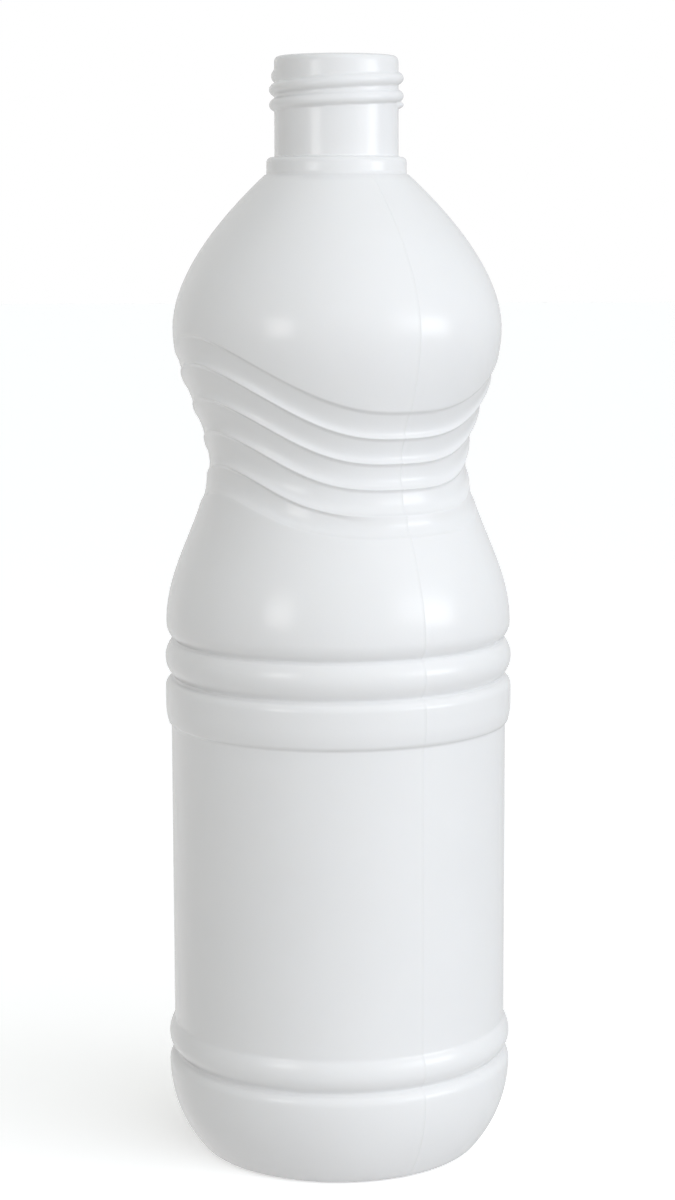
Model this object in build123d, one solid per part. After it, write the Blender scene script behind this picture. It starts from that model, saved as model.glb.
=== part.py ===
from build123d import *
import os
from math import cos, pi, radians, sin, sqrt

# A one-litre cleaner bottle, blow-moulded in one piece from white plastic, open at the neck.
# Millimetres, +Z up, the standing ring on z = 0, the side seen first towards -Y.
# Angles round the bottle are in degrees from -Y, growing towards +X.

# Wall of the blown body
WALL = 1.0

# Widest radius, at the base and at the bands
BODY_RADIUS = 41.9

# Base
HEEL_HEIGHT = 21.4
HEEL_RADIUS = 31.0
FOOT_FILLET = 5.0
RING_WIDTH = 5.3
PUSH_UP_HEIGHT = 6.0

# Body heights, each stacked on the one before, from the heel up to the neck
BASE_LIP_HEIGHT = 2.6
BASE_BEAD_HEIGHT = 8.6
PANEL_HEIGHT = 73.4
BAND_HEIGHT = 12.0
TOP_BEAD_HEIGHT = 8.3
FLARE_LIP_HEIGHT = 4.3
FLARE_HEIGHT = 38.0
BULB_HEIGHT = 32.4
SHOULDER_HEIGHT = 36.1

# Steps in from the widest radius, the waist and bulb, and rounded edges
PANEL_RECESS = 1.3
FLARE_RECESS = 0.3
GROOVE_DEPTH = 1.5
WAIST_RADIUS = 31.3
WAIST_PINCH = 0.9
BULB_RADIUS = 39.3
BAND_LOWER_EDGE = 4.8
BAND_UPPER_EDGE = 2.6
SHOULDER_TOP_RADIUS = 17.1
SHOULDER_SLOPE = 47.5
SHOULDER_EASE = 13.0

# Grip: channels cut round the waist, rising and falling in waves, with ribs left between them
GRIP_DEPTH = 0.9
GRIP_LOW_HEIGHT = 29.0
GRIP_HIGH_HEIGHT = 37.6
GRIP_RISE = 13.05
GRIP_SHARPNESS = 3.3
PARTING_ANGLE = 29.0
RIB_COUNT = 4
RIB_CREST_WIDTH = 1.0

# Neck finish
NECK_RADIUS = 14.7
BORE_RADIUS = 12.7
NECK_HEIGHT = 23.5
RIM_CHAMFER = 0.6
THROAT_CHAMFER = 2.8
COLLAR_RADIUS = 16.65
COLLAR_HEIGHT = 4.2
COLLAR_CHAMFER = 0.9

# Screw thread: a half-round ridge, level at first, then climbing anticlockwise, faded at both ends
THREAD_HEIGHT = 1.2
THREAD_WIDTH = 2.9
THREAD_ROOT = 0.6
THREAD_LEAD = 4.1
THREAD_START_HEIGHT = 12.1
THREAD_START_ANGLE = -215.0
CLIMB_START_ANGLE = -90.0
CLIMB_END_ANGLE = 540.0
THREAD_END_ANGLE = 655.0
THREAD_FADE_ANGLE = 50.0

# Radii set by the widest one
panel_radius = BODY_RADIUS - PANEL_RECESS
flare_radius = BODY_RADIUS - FLARE_RECESS
groove_radius = BODY_RADIUS - GROOVE_DEPTH

# Levels
base_groove_z = HEEL_HEIGHT + BASE_LIP_HEIGHT
panel_bottom_z = base_groove_z + BASE_BEAD_HEIGHT
panel_top_z = panel_bottom_z + PANEL_HEIGHT
lower_groove_z = panel_top_z + BAND_HEIGHT
upper_groove_z = lower_groove_z + TOP_BEAD_HEIGHT
flare_z = upper_groove_z + FLARE_LIP_HEIGHT
waist_z = flare_z + FLARE_HEIGHT
bulb_z = waist_z + BULB_HEIGHT
collar_z = bulb_z + SHOULDER_HEIGHT
neck_z = collar_z + COLLAR_HEIGHT
rim_z = neck_z + NECK_HEIGHT


def around(radius, angle, z):
    """The point at an angle round the bottle."""
    return Vector(radius * sin(radians(angle)), -radius * cos(radians(angle)), z)


def ease(share):
    """A smooth step from 0 to 1."""
    return (1 - cos(pi * min(max(share, 0), 1))) / 2


def waist_radius(z):
    """The body's radius from the flare through the waist to the bulb."""
    if z > waist_z:
        rise = ease((z - waist_z) / BULB_HEIGHT) ** WAIST_PINCH
        return WAIST_RADIUS + (BULB_RADIUS - WAIST_RADIUS) * rise
    rise = ease((waist_z - z) / FLARE_HEIGHT) ** WAIST_PINCH
    return WAIST_RADIUS + (flare_radius - WAIST_RADIUS) * rise


def grip_inset(inset):
    """The skin's inset from the flare to the bulb, where the inside also clears the grip's channels."""
    return inset + GRIP_DEPTH if inset > 0 else 0


def flank(start, end, inset):
    """From a raised wall into a groove: rounded outside, plain inside."""
    if inset > 0:
        return Line(start, end)
    return TangentArc(start, end, tangent=(0, end[1] - start[1]))


def bead(lower, upper, inset):
    """A raised bead between two lower points of the outline."""
    crest = (BODY_RADIUS - inset, (lower[1] + upper[1]) / 2)
    return [flank(crest, lower, inset), flank(crest, upper, inset)]


def band(lower, upper, inset):
    """A raised band with a straight wall, rounded more at its lower edge."""
    bottom = (BODY_RADIUS - inset, lower[1] + BAND_LOWER_EDGE)
    top = (BODY_RADIUS - inset, upper[1] - BAND_UPPER_EDGE)
    return [flank(bottom, lower, inset), Line(bottom, top), flank(top, upper, inset)]


def foot_radius(inset):
    """Where the heel's arc meets the level of the standing ring."""
    reach = sqrt((HEEL_RADIUS - inset) ** 2 - (HEEL_HEIGHT - inset) ** 2)
    return BODY_RADIUS - HEEL_RADIUS + reach


def base_outline(inset):
    """From the middle of the bottom, over the standing ring and up the heel to the base's groove."""
    centre = (0, PUSH_UP_HEIGHT + inset)
    ring_inner = (foot_radius(0) - RING_WIDTH, inset)
    ring_outer = (foot_radius(inset), inset)
    heel = (BODY_RADIUS - inset, HEEL_HEIGHT)
    groove = (groove_radius - inset, base_groove_z)
    return [
        TangentArc(centre, ring_inner, tangent=(1, 0)),
        Line(ring_inner, ring_outer),
        TangentArc(heel, ring_outer, tangent=(0, -1)),
        flank(heel, groove, inset),
    ]


def side_outline(inset):
    """From the base's groove up to the flare, with the label panel sunk between a bead and a band."""
    base_groove = (groove_radius - inset, base_groove_z)
    panel_bottom = (panel_radius - inset, panel_bottom_z)
    panel_top = (panel_radius - inset, panel_top_z)
    lower_groove = (groove_radius - inset, lower_groove_z)
    upper_groove = (groove_radius - inset, upper_groove_z)
    flare = (flare_radius - grip_inset(inset), flare_z)
    return [
        *bead(base_groove, panel_bottom, inset),
        Line(panel_bottom, panel_top),
        *band(panel_top, lower_groove, inset),
        *bead(lower_groove, upper_groove, inset),
        flank(flare, upper_groove, inset),
    ]


def waist_outline(inset):
    """From the flare through the waist and over the bulb to the shoulder's top."""
    heights = [flare_z + (bulb_z - flare_z) * step / 6 for step in range(7)]
    waist_line = [(waist_radius(z) - grip_inset(inset), z) for z in heights]
    bulb = Vector(BULB_RADIUS - grip_inset(inset), bulb_z)
    downhill = Vector(sin(radians(SHOULDER_SLOPE)), -cos(radians(SHOULDER_SLOPE)))
    inwards = Vector(-cos(radians(SHOULDER_SLOPE)), -sin(radians(SHOULDER_SLOPE)))
    top = Vector(SHOULDER_TOP_RADIUS, collar_z) + inwards * inset
    return [
        Spline(*waist_line, tangents=[(0, 1), (0, 1)]),
        Bezier(bulb, bulb + Vector(0, SHOULDER_EASE), top + downhill * SHOULDER_EASE, top),
    ]


def turned_body(inset):
    """The plain body, turned about Z, with its skin moved in by an inset."""
    outline = [*base_outline(inset), *side_outline(inset), *waist_outline(inset)]
    top = outline[-1] @ 1
    lid = Line(top, (0, top.Y))
    axis = Line((0, top.Y), (0, PUSH_UP_HEIGHT + inset))
    section = make_face([*outline, lid, axis])
    if inset == 0:
        foot = section.vertices().group_by(Axis.Y)[0].sort_by(Axis.X)[-1]
        section = fillet(foot, FOOT_FILLET)
    return revolve(Plane.XZ * section, axis=Axis.Z)


def grip_z(across, angle):
    """Height of a line along the grip, from -1 on its lower edge to 1 on its upper edge."""
    swing = abs(sin(radians(angle - PARTING_ANGLE))) ** (GRIP_SHARPNESS - across / 2)
    height = GRIP_LOW_HEIGHT + (GRIP_HIGH_HEIGHT - GRIP_LOW_HEIGHT) * swing
    return waist_z + GRIP_RISE * swing + across * height / 2


def grip_line(across, shift, reach):
    """A closed curve along the grip, shifted up and standing out from the body's skin."""
    points = []
    for step in range(20):
        angle = PARTING_ANGLE + 18 * step
        z = grip_z(across, angle) + shift
        points.append(around(waist_radius(z) + reach, angle, z))
    return Edge.make_spline(points, periodic=True)


def wavy_ring(lines):
    """The solid ring with these closed curves as its corners, in order round its section."""
    faces = []
    for first, second in zip(lines, [*lines[1:], lines[0]]):
        faces.append(Face.make_surface_from_curves(first, second))
    return Solid(Shell(faces))


def rib_across(row):
    """Where a rib lies across the grip, between -1 and 1."""
    return (2 * row + 1 - RIB_COUNT) / (RIB_COUNT + 0.7)


def grip_channels():
    """The channels of the grip, each between two ribs or a rib and the grip's edge."""
    edges = [(-1, 0)]
    for row in range(RIB_COUNT):
        edges.append((rib_across(row), -RIB_CREST_WIDTH / 2))
        edges.append((rib_across(row), RIB_CREST_WIDTH / 2))
    edges.append((1, 0))
    channels = []
    for (low, low_shift), (high, high_shift) in zip(edges[0::2], edges[1::2]):
        channels.append(wavy_ring([
            grip_line(low, low_shift - 2 * GRIP_DEPTH, 2 * GRIP_DEPTH),
            grip_line(low, low_shift + GRIP_DEPTH, -GRIP_DEPTH),
            grip_line(high, high_shift - GRIP_DEPTH, -GRIP_DEPTH),
            grip_line(high, high_shift + 2 * GRIP_DEPTH, 2 * GRIP_DEPTH),
        ]))
    return channels


def cylinder(radius, bottom, top):
    """A plain cylinder about Z between two heights."""
    return Pos(0, 0, bottom) * Cylinder(radius, top - bottom, align=(Align.CENTER, Align.CENTER, Align.MIN))


def neck():
    """The neck and its collar, solid, standing on the shoulder."""
    tube = cylinder(NECK_RADIUS, collar_z - WALL, rim_z)
    tube = chamfer(tube.edges().sort_by(Axis.Z)[-1], RIM_CHAMFER)
    collar = cylinder(COLLAR_RADIUS, collar_z, neck_z)
    collar = chamfer(collar.edges().sort_by(Axis.Z)[-1], COLLAR_CHAMFER)
    return tube + collar


def thread_line(height, shift):
    """One corner of the thread's section along its whole run, sinking into the neck at both ends."""
    points = []
    span = THREAD_END_ANGLE - THREAD_START_ANGLE
    steps = round(span / 30)
    for step in range(steps + 1):
        angle = THREAD_START_ANGLE + span * step / steps
        climb = min(max(angle, CLIMB_START_ANGLE), CLIMB_END_ANGLE) - CLIMB_START_ANGLE
        fade = ease((angle - THREAD_START_ANGLE) / THREAD_FADE_ANGLE)
        fade *= ease((THREAD_END_ANGLE - angle) / THREAD_FADE_ANGLE)
        sink = THREAD_ROOT / (THREAD_ROOT + THREAD_HEIGHT) / 2
        radius = NECK_RADIUS - THREAD_ROOT + (height + THREAD_ROOT) * (sink + (1 - sink) * fade)
        z = neck_z + THREAD_START_HEIGHT + THREAD_LEAD * climb / 360 + shift
        points.append(around(radius, angle, z))
    return Edge.make_spline(points)


def thread():
    """The screw thread, with four flats for its half-round section."""
    lines = [thread_line(-THREAD_ROOT, -THREAD_WIDTH / 2)]
    for turn in (-60, -20, 20, 60):
        height = THREAD_HEIGHT * cos(radians(turn))
        lines.append(thread_line(height, THREAD_WIDTH / 2 * sin(radians(turn))))
    lines.append(thread_line(-THREAD_ROOT, THREAD_WIDTH / 2))
    faces = []
    for first, second in zip(lines, [*lines[1:], lines[0]]):
        faces.append(Face.make_surface_from_curves(first, second))
    for end in (0, 1):
        faces.append(Face(Wire.make_polygon([line @ end for line in lines])))
    return Solid(Shell(faces))


def hollow():
    """The space inside: the body moved in by the wall, and the bore up through the neck."""
    space = turned_body(WALL)
    ceiling = space.faces().sort_by(Axis.Z)[-1].center().Z
    throat = Pos(0, 0, ceiling + THROAT_CHAMFER / 2) * Cone(
        BORE_RADIUS + THROAT_CHAMFER, BORE_RADIUS, THROAT_CHAMFER
    )
    return space + throat + cylinder(BORE_RADIUS, ceiling, rim_z + WALL)


def bottle():
    """The finished moulding."""
    body = turned_body(0)
    for channel in grip_channels():
        body -= channel
    body += neck()
    body += thread()
    return body - hollow()


os.makedirs("parts", exist_ok=True)
export_step(bottle(), "parts/bottle.step")
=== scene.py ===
from math import cos, pi, radians, sin

import bpy
import numpy as np
from mathutils import Euler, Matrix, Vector

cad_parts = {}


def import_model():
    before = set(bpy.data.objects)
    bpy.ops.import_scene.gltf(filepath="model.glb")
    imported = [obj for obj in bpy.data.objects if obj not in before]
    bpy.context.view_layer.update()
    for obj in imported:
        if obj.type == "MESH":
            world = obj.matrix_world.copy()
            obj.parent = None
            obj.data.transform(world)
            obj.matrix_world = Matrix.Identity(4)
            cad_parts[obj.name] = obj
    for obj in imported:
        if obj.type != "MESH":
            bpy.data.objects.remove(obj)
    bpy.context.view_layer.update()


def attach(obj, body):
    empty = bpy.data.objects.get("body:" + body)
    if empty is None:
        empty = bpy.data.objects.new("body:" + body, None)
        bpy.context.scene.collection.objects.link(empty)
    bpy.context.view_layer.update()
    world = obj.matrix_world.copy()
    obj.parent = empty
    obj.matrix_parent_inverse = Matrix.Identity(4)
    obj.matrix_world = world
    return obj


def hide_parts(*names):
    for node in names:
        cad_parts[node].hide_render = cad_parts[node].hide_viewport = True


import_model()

# White blow-moulded cleaner bottle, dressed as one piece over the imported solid.
# The profile is in millimetres, from the middle of the bottom up over the outside and down the inside.
# Angles round the bottle are in degrees from -Y, growing towards +X.
# From the flare to the shoulder the inside lies deeper than the wall by the sink, to clear the grip.

WALL = 1.0
INNER_SINK = 0.9
BODY_RADIUS = 41.9
PANEL_RADIUS = 40.6
GROOVE_RADIUS = 40.4
FLARE_RADIUS = 41.6
WAIST_RADIUS = 31.3
BULB_RADIUS = 39.3
NECK_RADIUS = 14.7
BORE_RADIUS = 12.7
COLLAR_RADIUS = 16.65
SHOULDER_END_RADIUS = 17.1

PUSH_UP_HEIGHT = 6.0
RING_INNER_RADIUS = 28.0
FOOT_RADIUS = 31.6
HEEL_FOOT = (34.9, 1.75)
HEEL_Z = 21.4
BASE_GROOVE_Z = 24.0
BASE_RING_Z = 28.3
PANEL_BOTTOM_Z = 32.3
PANEL_TOP_Z = 106.0
WIDE_RING_BOTTOM_Z = 110.8
WIDE_RING_TOP_Z = 114.9
LOWER_GROOVE_Z = 117.2
BEAD_RING_Z = 122.15
UPPER_GROOVE_Z = 126.3
FLARE_Z = 130.6
WAIST_Z = 168.6
BULB_Z = 201.0
COLLAR_Z = 237.1
NECK_Z = 241.3
RIM_Z = 264.8
RIM_CORNER = 1.6
COLLAR_CORNER = 1.5
CREASE_DEPTH = 0.8
BASE_CREASE_DEPTH = 0.6

# The mesh's rows are level outside these heights and follow the grip's waves between them
LEVEL_BELOW_Z = 140.0
LEVEL_ABOVE_Z = 218.0

# Grip: the crests are its lower edge, four ribs and upper edge, from -1 to 1 across it at the wave's
# trough and at its peak. A channel's floor rises towards the crest above, and is shallower at the sides.
# Its height is given at the trough; towards the peak it grows taller and its middle rises.
PARTING_ANGLE = 29.0
GRIP_HEIGHT = 29.0
GRIP_GROWTH = 8.6
WAVE_RISE = 13.05
CHANNEL_DEPTH = 1.5
FLOOR_RISE = 0.55
SIDE_LOSS = 0.5
CREST_SPOTS = ((-1, -1), (-0.657, -0.64), (-0.245, -0.21), (0.165, 0.21), (0.57, 0.64), (1, 1))
CHANNEL_SHARES = (0, 0.03, 0.07, 0.12, 0.2, 0.3, 0.42, 0.54, 0.66, 0.75, 0.8, 0.84, 0.88, 0.92, 0.96)

THREAD_HEIGHT = 1.2
THREAD_HALF_WIDTH = 1.45
THREAD_LEAD = 4.1
THREAD_Z = 253.4
THREAD_DIP = 0.55
THREAD_DIP_ANGLE = 270
THREAD_BOTTOM_Z = 251.4
THREAD_TOP_Z = 262.6
THREAD_CLIMB = (-90, 505)
THREAD_ENDS = (-292, 658)
THREAD_FADES = (22, 55)

# A raised line where the mould's halves meet, and a ridge across the bottom where the tube was pinched off
PARTING_RIDGE = 0.1
PINCH_RIDGE = 0.5

# Colours of the lamps
COOL_WHITE = (0.95, 0.97, 1.0)
WARM_WHITE = (1.0, 0.99, 0.98)


def ease(share):
    """A smooth step from 0 to 1."""
    return (1 - np.cos(pi * np.clip(share, 0, 1))) / 2


def straight(start, end, count):
    """Points from a start to just before an end."""
    share = np.arange(count)[:, None] / count
    return np.array(start) + share * (np.array(end) - np.array(start))


def bulge(crest, foot, count):
    """A convex arc that leaves a crest upright and ends just before a foot, nearer the axis."""
    drop = crest[0] - foot[0]
    rise = foot[1] - crest[1]
    radius = (drop**2 + rise**2) / (2 * drop)
    turn = np.arange(count) / count * np.arcsin(min(abs(rise) / radius, 1))
    heights = crest[1] + np.sign(rise) * radius * np.sin(turn)
    return np.stack([crest[0] - radius + radius * np.cos(turn), heights], axis=1)


def climb(foot, crest, count):
    """The same arc, walked from its foot to just before its crest."""
    arc = np.vstack([bulge(crest, foot, count), [foot]])
    return arc[::-1][:-1]


def corner(start, middle, end, count):
    """A rounded corner from a start to just before an end."""
    share = np.arange(count)[:, None] / count
    first = (1 - share) ** 2 * np.array(start)
    return first + 2 * share * (1 - share) * np.array(middle) + share**2 * np.array(end)


def crease(radius, z, depth):
    """A line pressed into the bottom of a groove: a sharp lower lip and a longer flank above it."""
    return np.array([(radius, z - 0.15), (radius - depth, z + 0.1), (radius - 0.7 * depth, z + 0.5)])


def waist_radius(z):
    """Radius from the flare through the waist to the bulb."""
    above = ease((z - WAIST_Z) / (BULB_Z - WAIST_Z)) ** 0.9
    below = ease((WAIST_Z - z) / (WAIST_Z - FLARE_Z)) ** 0.9
    return WAIST_RADIUS + (BULB_RADIUS - WAIST_RADIUS) * above + (FLARE_RADIUS - WAIST_RADIUS) * below


def shoulder(count):
    """The shoulder's curve from the bulb to the collar."""
    share = np.arange(count)[:, None] / count
    slope = radians(47.5)
    pull = 13.0
    ends = np.array([(BULB_RADIUS, BULB_Z), (SHOULDER_END_RADIUS, COLLAR_Z)])
    pulls = ends + pull * np.array([(0, 1), (sin(slope), -cos(slope))])
    curve = (1 - share) ** 3 * ends[0] + 3 * (1 - share) ** 2 * share * pulls[0]
    return curve + 3 * (1 - share) * share**2 * pulls[1] + share**3 * ends[1]


def skin_radius(z):
    """Radius of the plain skin from the flare up to the collar."""
    curve = shoulder(400)
    return np.where(z > BULB_Z, np.interp(z, curve[:, 1], curve[:, 0]), waist_radius(z))


def skin_points(bottom, top, count):
    """Points up the plain skin's outline from a height to just before another."""
    heights = bottom + np.arange(count) / count * (top - bottom)
    return np.stack([skin_radius(heights), heights], axis=1)


def below_grip():
    """Outline of the outside, from the middle of the bottom to the flare."""
    ring_edge = (RING_INNER_RADIUS - 1, 0.25)
    panel_edge = (PANEL_RADIUS + 0.7, PANEL_TOP_Z + 0.5)
    return np.vstack([
        corner((0.0, PUSH_UP_HEIGHT), (16, PUSH_UP_HEIGHT), ring_edge, 16),
        corner(ring_edge, (RING_INNER_RADIUS, 0), (RING_INNER_RADIUS + 1, 0), 3),
        straight((RING_INNER_RADIUS + 1, 0), (FOOT_RADIUS, 0), 2),
        corner((FOOT_RADIUS, 0), (33.6, 0), HEEL_FOOT, 6),
        climb(HEEL_FOOT, (BODY_RADIUS, HEEL_Z), 22),
        bulge((BODY_RADIUS, HEEL_Z), (GROOVE_RADIUS, BASE_GROOVE_Z - 0.15), 6),
        crease(GROOVE_RADIUS, BASE_GROOVE_Z, BASE_CREASE_DEPTH),
        climb((GROOVE_RADIUS, BASE_GROOVE_Z + 1.0), (BODY_RADIUS, BASE_RING_Z), 7),
        bulge((BODY_RADIUS, BASE_RING_Z), (PANEL_RADIUS, PANEL_BOTTOM_Z), 7),
        straight((PANEL_RADIUS, PANEL_BOTTOM_Z), (PANEL_RADIUS, PANEL_BOTTOM_Z + 0.4), 1),
        straight((PANEL_RADIUS, PANEL_BOTTOM_Z + 0.4), (PANEL_RADIUS, PANEL_TOP_Z - 0.5), 5),
        straight((PANEL_RADIUS, PANEL_TOP_Z - 0.5), (PANEL_RADIUS, PANEL_TOP_Z - 0.1), 1),
        straight((PANEL_RADIUS, PANEL_TOP_Z - 0.1), panel_edge, 2),
        climb(panel_edge, (BODY_RADIUS, WIDE_RING_BOTTOM_Z), 7),
        straight((BODY_RADIUS, WIDE_RING_BOTTOM_Z), (BODY_RADIUS, WIDE_RING_TOP_Z), 2),
        bulge((BODY_RADIUS, WIDE_RING_TOP_Z), (GROOVE_RADIUS, LOWER_GROOVE_Z - 0.15), 6),
        crease(GROOVE_RADIUS, LOWER_GROOVE_Z, CREASE_DEPTH),
        climb((GROOVE_RADIUS, LOWER_GROOVE_Z + 1.0), (BODY_RADIUS, BEAD_RING_Z), 7),
        bulge((BODY_RADIUS, BEAD_RING_Z), (GROOVE_RADIUS, UPPER_GROOVE_Z - 0.15), 8),
        crease(GROOVE_RADIUS, UPPER_GROOVE_Z, CREASE_DEPTH),
        climb((GROOVE_RADIUS, UPPER_GROOVE_Z + 1.0), (FLARE_RADIUS, FLARE_Z), 7),
        skin_points(FLARE_Z, LEVEL_BELOW_Z, 6),
    ])


def above_grip():
    """Outline of the outside, from the shoulder to the rim."""
    collar_edge = NECK_Z - COLLAR_CORNER
    ledge = (COLLAR_RADIUS - COLLAR_CORNER, NECK_Z)
    rim_edge = RIM_Z - RIM_CORNER
    return np.vstack([
        skin_points(LEVEL_ABOVE_Z, COLLAR_Z, 12),
        straight((SHOULDER_END_RADIUS, COLLAR_Z), (COLLAR_RADIUS, COLLAR_Z + 0.15), 1),
        straight((COLLAR_RADIUS, COLLAR_Z + 0.15), (COLLAR_RADIUS, collar_edge), 3),
        corner((COLLAR_RADIUS, collar_edge), (COLLAR_RADIUS, NECK_Z), ledge, 5),
        corner(ledge, (NECK_RADIUS, NECK_Z), (NECK_RADIUS, NECK_Z + 0.2), 3),
        straight((NECK_RADIUS, NECK_Z + 0.2), (NECK_RADIUS, NECK_Z + 0.5), 1),
        straight((NECK_RADIUS, NECK_Z + 0.5), (NECK_RADIUS, THREAD_BOTTOM_Z), 4),
        straight((NECK_RADIUS, THREAD_BOTTOM_Z), (NECK_RADIUS, THREAD_TOP_Z), 46),
        straight((NECK_RADIUS, THREAD_TOP_Z), (NECK_RADIUS, rim_edge), 2),
        corner((NECK_RADIUS, rim_edge), (NECK_RADIUS, RIM_Z), (NECK_RADIUS - RIM_CORNER, RIM_Z), 5),
    ])


def inside():
    """Outline of the inside, from the rim down to the middle of the bottom."""
    top = (NECK_RADIUS - RIM_CORNER, RIM_Z)
    throat = (BORE_RADIUS + 2.8, COLLAR_Z - 1.8)
    floor_z = PUSH_UP_HEIGHT + WALL
    heights = np.linspace(232.0, FLARE_Z, 14)
    return np.vstack([
        corner(top, (BORE_RADIUS, RIM_Z), (BORE_RADIUS, RIM_Z - 0.6), 4),
        straight((BORE_RADIUS, RIM_Z - 0.6), (BORE_RADIUS, COLLAR_Z + 1.0), 4),
        straight((BORE_RADIUS, COLLAR_Z + 1.0), throat, 3),
        np.stack([skin_radius(heights) - WALL - INNER_SINK, heights], axis=1),
        straight((GROOVE_RADIUS - WALL, UPPER_GROOVE_Z), (GROOVE_RADIUS - WALL, HEEL_Z), 4),
        corner((GROOVE_RADIUS - WALL, HEEL_Z), (39.0, 6.0), (RING_INNER_RADIUS, 1.2), 8),
        corner((RING_INNER_RADIUS, 1.2), (16, floor_z), (0.0, floor_z), 6),
        np.array([(0.0, floor_z)]),
    ])


def columns():
    """Angles of the mesh's columns, with close ones along the two parting lines."""
    even = np.arange(-180, 180, 4 / 3)
    close = np.array([-0.45, -0.18, 0, 0.18, 0.45])
    close = np.concatenate([PARTING_ANGLE + close, PARTING_ANGLE - 180 + close])
    kept = [angle for angle in even if np.abs(angle - close).min() > 0.3]
    return np.sort(np.concatenate([kept, close]))


def grip_line(low, high, angles):
    """Height of a line along the grip, from its places across the grip at the trough and at the peak."""
    swing = np.abs(np.sin(np.radians(angles - PARTING_ANGLE))) ** (3.3 - (low + high) / 4)
    across = low + (high - low) * swing
    return WAIST_Z + WAVE_RISE * swing + across * (GRIP_HEIGHT + GRIP_GROWTH * swing) / 2


def between(lower, upper, shares):
    """Heights of the mesh's rows at shares of the way between two lines round the bottle."""
    return lower + np.array(shares)[:, None] * (upper - lower)


def grip_rows(angles):
    """Heights and depths of the mesh's rows from the flare to the shoulder, following the grip's waves.

    To the right of each parting line the lowest channel is shallower and ends more softly at its top.
    """
    crests = [grip_line(low, high, angles) for low, high in CREST_SPOTS]
    turn = (angles - PARTING_ANGLE + 90) % 180 - 90
    sideways = np.clip(-np.cos(np.radians(2 * angles)), 0, 1)
    depth = CHANNEL_DEPTH * (1 - SIDE_LOSS * sideways)
    weaker = ease((turn + 35) / 30) * ease((90 - turn) / 25)
    shares = np.array(CHANNEL_SHARES)[:, None]
    run_in = (0, 0.12, 0.24, 0.36, 0.48, 0.6, 0.72, 0.84, 0.93, 0.98)
    run_out = (0, 0.01, 0.03, 0.08, 0.15, 0.23, 0.32, 0.41, 0.5, 0.6, 0.7, 0.8, 0.9)
    heights = [between(LEVEL_BELOW_Z, crests[0], run_in)]
    sinks = [np.zeros_like(heights[0])]
    for lower, upper in zip(crests, crests[1:]):
        lowest = weaker if lower is crests[0] else 0 * weaker
        undercut = np.clip((1 - shares) / (0.15 + 0.4 * lowest), 0, 1)
        scoop = (1 - (1 - shares) ** 6) * (1 - FLOOR_RISE * shares) * np.sin(pi / 2 * undercut)
        heights.append(between(lower, upper, CHANNEL_SHARES))
        sinks.append(depth * (1 - 0.4 * lowest) * scoop)
    heights.append(between(crests[-1], LEVEL_ABOVE_Z, run_out))
    sinks.append(np.zeros_like(heights[-1]))
    return np.vstack(heights), np.vstack(sinks)


def thread_rise(angles, z):
    """How far the thread stands out from the neck: level at its run-in, then climbing, with eased ends."""
    rise = np.zeros_like(z)
    first, last = THREAD_ENDS
    for turn in (-1, 0, 1, 2):
        run = angles + 360 * turn
        dip = THREAD_DIP * ease(1 - np.abs(run - THREAD_DIP_ANGLE) / 150)
        climbed = np.clip(run, *THREAD_CLIMB) - THREAD_CLIMB[0]
        line = THREAD_Z + THREAD_LEAD * climbed / 360 - dip
        half_width = THREAD_HALF_WIDTH * (0.65 + 0.35 * ease((run + 270) / 60))
        section = np.clip(1 - (np.abs(z - line) / half_width) ** 2, 0, 1) ** 0.7
        fade = ease((run - first) / THREAD_FADES[0]) * ease((last - run) / THREAD_FADES[1])
        rise = np.maximum(rise, THREAD_HEIGHT * section * fade)
    return rise


def skin_mesh():
    """The bottle's closed mesh: the turned outline with its grip, thread and parting lines worked in."""
    angles = columns()
    even = np.ones(len(angles))
    below, above, inner = below_grip(), above_grip(), inside()
    grip_z, grip_sink = grip_rows(angles)
    grip_radius = skin_radius(grip_z) - grip_sink
    radius = np.vstack([below[:, :1] * even, grip_radius, above[:, :1] * even, inner[:, :1] * even])
    z = np.vstack([below[:, 1:] * even, grip_z, above[:, 1:] * even, inner[:, 1:] * even])
    rows, cols = z.shape
    angle = np.ones((rows, 1)) * angles
    is_outer = (np.arange(rows) < rows - len(inner))[:, None]
    on_thread = is_outer & (z >= THREAD_BOTTOM_Z) & (z <= THREAD_TOP_Z)
    radius += np.where(on_thread, thread_rise(angle, z), 0)

    # The parting line is steep on its left and gentle on its right
    seam = np.radians((angle - PARTING_ANGLE + 90) % 180 - 90) * radius
    ridge = PARTING_RIDGE * ease(1 - np.where(seam < 0, -seam / 0.25, seam / 0.9))
    on_side = is_outer & (z > 1.8) & (z < COLLAR_Z - 0.5) & (radius > 18)
    radius += np.where(on_side, ridge, 0)
    pinch = ease(1 - np.abs(seam) / 1.3) * ease((26 - radius) / 3)
    z -= np.where(is_outer & (z < 8) & (radius < 27), PINCH_RIDGE * pinch, 0)

    x = radius * np.sin(np.radians(angle))
    y = -radius * np.cos(np.radians(angle))
    grid = np.stack([x, y, z], axis=2) / 1000
    inner_rows = grid[1:-1].reshape(-1, 3)
    verts = np.vstack([grid[0, :1], inner_rows, grid[-1, :1]])

    faces = []
    last = len(verts) - 1
    for col in range(cols):
        following = (col + 1) % cols
        faces.append((0, 1 + following, 1 + col))
        for row in range(rows - 3):
            here = 1 + row * cols
            faces.append((here + col, here + following, here + cols + following, here + cols + col))
        top = 1 + (rows - 3) * cols
        faces.append((top + col, top + following, last))
    mesh = bpy.data.meshes.new("bottle_skin")
    mesh.from_pydata(verts.tolist(), [], faces)
    mesh.shade_smooth()
    return mesh


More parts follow.
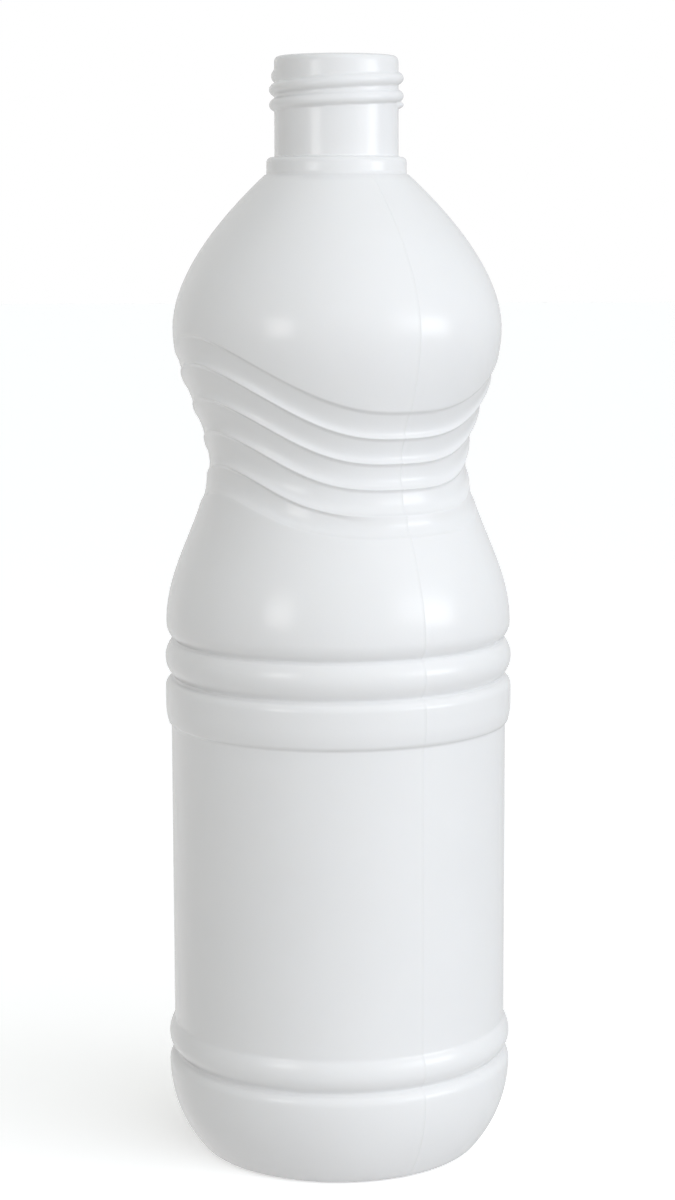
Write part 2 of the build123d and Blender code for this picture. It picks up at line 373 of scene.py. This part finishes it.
def plastic():
    """Satin white polyethylene: faint mottling, fine mould grain and light that sinks in a little."""
    material = bpy.data.materials.new("white_polyethylene")
    material.use_nodes = True
    nodes, links = material.node_tree.nodes, material.node_tree.links
    shader = nodes["Principled BSDF"]
    shader.inputs["IOR"].default_value = 1.5
    shader.inputs["Subsurface Weight"].default_value = 0.12
    shader.inputs["Subsurface Radius"].default_value = (1.0, 0.9, 0.8)
    shader.inputs["Subsurface Scale"].default_value = 0.001
    place = nodes.new("ShaderNodeTexCoord")

    cloud = nodes.new("ShaderNodeTexNoise")
    cloud.inputs["Scale"].default_value = 38
    cloud.inputs["Detail"].default_value = 3
    links.new(place.outputs["Object"], cloud.inputs["Vector"])
    tint = nodes.new("ShaderNodeValToRGB")
    tint.color_ramp.elements[0].position = 0.3
    tint.color_ramp.elements[0].color = (0.853, 0.849, 0.849, 1)
    tint.color_ramp.elements[1].position = 0.7
    tint.color_ramp.elements[1].color = (0.871, 0.867, 0.867, 1)
    links.new(cloud.outputs["Fac"], tint.inputs["Fac"])
    links.new(tint.outputs["Color"], shader.inputs["Base Color"])

    gloss = nodes.new("ShaderNodeMapRange")
    gloss.inputs["To Min"].default_value = 0.21
    gloss.inputs["To Max"].default_value = 0.25
    links.new(cloud.outputs["Fac"], gloss.inputs["Value"])
    links.new(gloss.outputs["Result"], shader.inputs["Roughness"])

    grain = nodes.new("ShaderNodeTexNoise")
    grain.inputs["Scale"].default_value = 1400
    grain.inputs["Detail"].default_value = 2
    links.new(place.outputs["Object"], grain.inputs["Vector"])
    bump = nodes.new("ShaderNodeBump")
    bump.inputs["Strength"].default_value = 0.05
    bump.inputs["Distance"].default_value = 0.0002
    links.new(grain.outputs["Fac"], bump.inputs["Height"])
    links.new(bump.outputs["Normal"], shader.inputs["Normal"])
    return material


def plain_material(name, colour, roughness):
    """An even matt material for the studio."""
    material = bpy.data.materials.new(name)
    material.use_nodes = True
    shader = material.node_tree.nodes["Principled BSDF"]
    shader.inputs["Base Color"].default_value = (*colour, 1)
    shader.inputs["Roughness"].default_value = roughness
    shader.inputs["Specular IOR Level"].default_value = 0.1
    return material


def floor_material():
    """White to the camera, pale grey for the light that it sends back up, and unseen by the gloss."""
    material = plain_material("floor_white", (1.0, 1.0, 1.0), 1.0)
    nodes, links = material.node_tree.nodes, material.node_tree.links
    dim = nodes.new("ShaderNodeBsdfDiffuse")
    dim.inputs["Color"].default_value = (0.68, 0.67, 0.66, 1)
    seen = nodes.new("ShaderNodeEmission")
    seen.inputs["Color"].default_value = (1, 1, 1, 1)
    seen.inputs["Strength"].default_value = 0.45
    add = nodes.new("ShaderNodeAddShader")
    path = nodes.new("ShaderNodeLightPath")
    mix = nodes.new("ShaderNodeMixShader")
    clear = nodes.new("ShaderNodeBsdfTransparent")
    open_floor = nodes.new("ShaderNodeMixShader")
    links.new(nodes["Principled BSDF"].outputs["BSDF"], add.inputs[0])
    links.new(seen.outputs["Emission"], add.inputs[1])
    links.new(path.outputs["Is Camera Ray"], mix.inputs["Fac"])
    links.new(dim.outputs["BSDF"], mix.inputs[1])
    links.new(add.outputs["Shader"], mix.inputs[2])
    links.new(path.outputs["Is Glossy Ray"], open_floor.inputs["Fac"])
    links.new(mix.outputs["Shader"], open_floor.inputs[1])
    links.new(clear.outputs["BSDF"], open_floor.inputs[2])
    links.new(open_floor.outputs["Shader"], nodes["Material Output"].inputs["Surface"])
    return material


def studio_floor():
    """A wide white floor."""
    mesh = bpy.data.meshes.new("floor")
    mesh.from_pydata([(-6, -6, 0), (6, -6, 0), (6, 6, 0), (-6, 6, 0)], [], [(0, 1, 2, 3)])
    floor = bpy.data.objects.new("floor", mesh)
    bpy.context.scene.collection.objects.link(floor)
    floor.data.materials.append(floor_material())


def softbox(name, azimuth, elevation, distance, size, power, colour):
    """A rectangular lamp that faces the bottle's middle."""
    lamp = bpy.data.lights.new(name, "AREA")
    lamp.shape = "RECTANGLE"
    lamp.size, lamp.size_y = size
    lamp.energy = power
    lamp.color = colour
    holder = bpy.data.objects.new(name, lamp)
    turn, lift = radians(azimuth), radians(elevation)
    away = Vector((sin(turn) * cos(lift), -cos(turn) * cos(lift), sin(lift)))
    holder.location = Vector((0, 0, 0.14)) + away * distance
    holder.rotation_euler = away.to_track_quat("Z", "Y").to_euler()
    bpy.context.scene.collection.objects.link(holder)


def facing(nodes, links, place, direction):
    """How nearly the world's light comes from a direction, from -1 to 1."""
    towards = nodes.new("ShaderNodeVectorMath")
    towards.operation = "DOT_PRODUCT"
    towards.inputs[1].default_value = direction
    links.new(place.outputs["Generated"], towards.inputs[0])
    return towards.outputs["Value"]


def soft_light(nodes, links, place):
    """Light from all round, strongest and coolest from the right front."""
    strongest = (0.70, -0.71, 0.09)
    soft = nodes["Background"]
    level = nodes.new("ShaderNodeMapRange")
    level.inputs["From Min"].default_value = -1
    links.new(facing(nodes, links, place, strongest), level.inputs["Value"])
    steep = nodes.new("ShaderNodeMath")
    steep.operation = "POWER"
    steep.inputs[1].default_value = 2.0
    links.new(level.outputs["Result"], steep.inputs[0])
    strength = nodes.new("ShaderNodeMath")
    strength.operation = "MULTIPLY"
    strength.inputs[1].default_value = 1.67
    links.new(steep.outputs["Value"], strength.inputs[0])
    links.new(strength.outputs["Value"], soft.inputs["Strength"])
    tint = nodes.new("ShaderNodeValToRGB")
    tint.color_ramp.elements[0].color = (1, 0.985, 0.82, 1)
    tint.color_ramp.elements[1].color = (0.885, 0.93, 1, 1)
    links.new(level.outputs["Result"], tint.inputs["Fac"])
    links.new(tint.outputs["Color"], soft.inputs["Color"])
    return soft


def mirrored_light(nodes, links, place):
    """What the gloss mirrors: bright all round, and dimmer towards the right back."""
    dimmest = (0.7, 0.7, 0)
    fall = nodes.new("ShaderNodeMapRange")
    fall.inputs["From Min"].default_value = 0.1
    fall.inputs["From Max"].default_value = 0.8
    fall.inputs["To Min"].default_value = 1.35
    fall.inputs["To Max"].default_value = 0.65
    links.new(facing(nodes, links, place, dimmest), fall.inputs["Value"])
    mirrored = nodes.new("ShaderNodeBackground")
    mirrored.inputs["Color"].default_value = (1, 1, 1, 1)
    links.new(fall.outputs["Result"], mirrored.inputs["Strength"])
    return mirrored


def world():
    """The soft light, the mirrored light for the gloss and a background that the camera sees as white."""
    surroundings = bpy.data.worlds.new("studio")
    surroundings.use_nodes = True
    nodes, links = surroundings.node_tree.nodes, surroundings.node_tree.links
    place = nodes.new("ShaderNodeTexCoord")
    soft = soft_light(nodes, links, place)
    mirrored = mirrored_light(nodes, links, place)
    white = nodes.new("ShaderNodeBackground")
    white.inputs["Color"].default_value = (1, 1, 1, 1)
    path = nodes.new("ShaderNodeLightPath")
    with_mirrored = nodes.new("ShaderNodeMixShader")
    links.new(path.outputs["Is Glossy Ray"], with_mirrored.inputs["Fac"])
    links.new(soft.outputs["Background"], with_mirrored.inputs[1])
    links.new(mirrored.outputs["Background"], with_mirrored.inputs[2])
    with_white = nodes.new("ShaderNodeMixShader")
    links.new(path.outputs["Is Camera Ray"], with_white.inputs["Fac"])
    links.new(with_mirrored.outputs["Shader"], with_white.inputs[1])
    links.new(white.outputs["Background"], with_white.inputs[2])
    links.new(with_white.outputs["Shader"], nodes["World Output"].inputs["Surface"])
    bpy.context.scene.world = surroundings


def camera():
    """The photograph's view: a long lens, a little above the shoulder, looking slightly down."""
    tilt_down = 8.25
    lean = -0.18
    lens = bpy.data.cameras.new("camera")
    lens.lens = 81
    lens.sensor_width = 36
    holder = bpy.data.objects.new("camera", lens)
    holder.location = (-0.0001, -0.648, 0.2292)
    holder.rotation_euler = Euler((radians(90 - tilt_down), 0, 0))
    holder.rotation_euler.rotate_axis("Z", radians(lean))
    bpy.context.scene.collection.objects.link(holder)
    bpy.context.scene.camera = holder


bottle = bpy.data.objects.new("bottle_skin", skin_mesh())
bpy.context.scene.collection.objects.link(bottle)
bottle.data.materials.append(plastic())
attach(bottle, "root")
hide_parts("bottle")

studio_floor()
world()
softbox("key_upper", 54, 13.8, 1.0, (0.50, 0.26), 0.85, COOL_WHITE)
softbox("key_lower", 71, 8, 1.0, (0.34, 0.24), 1.0, COOL_WHITE)
softbox("fill_left", -38, 12.5, 0.5, (0.15, 0.16), 0.26, WARM_WHITE)
softbox("top", -60, 70, 1.2, (1.0, 1.0), 0.45, WARM_WHITE)
camera()
bpy.context.scene.view_settings.view_transform = "Standard"
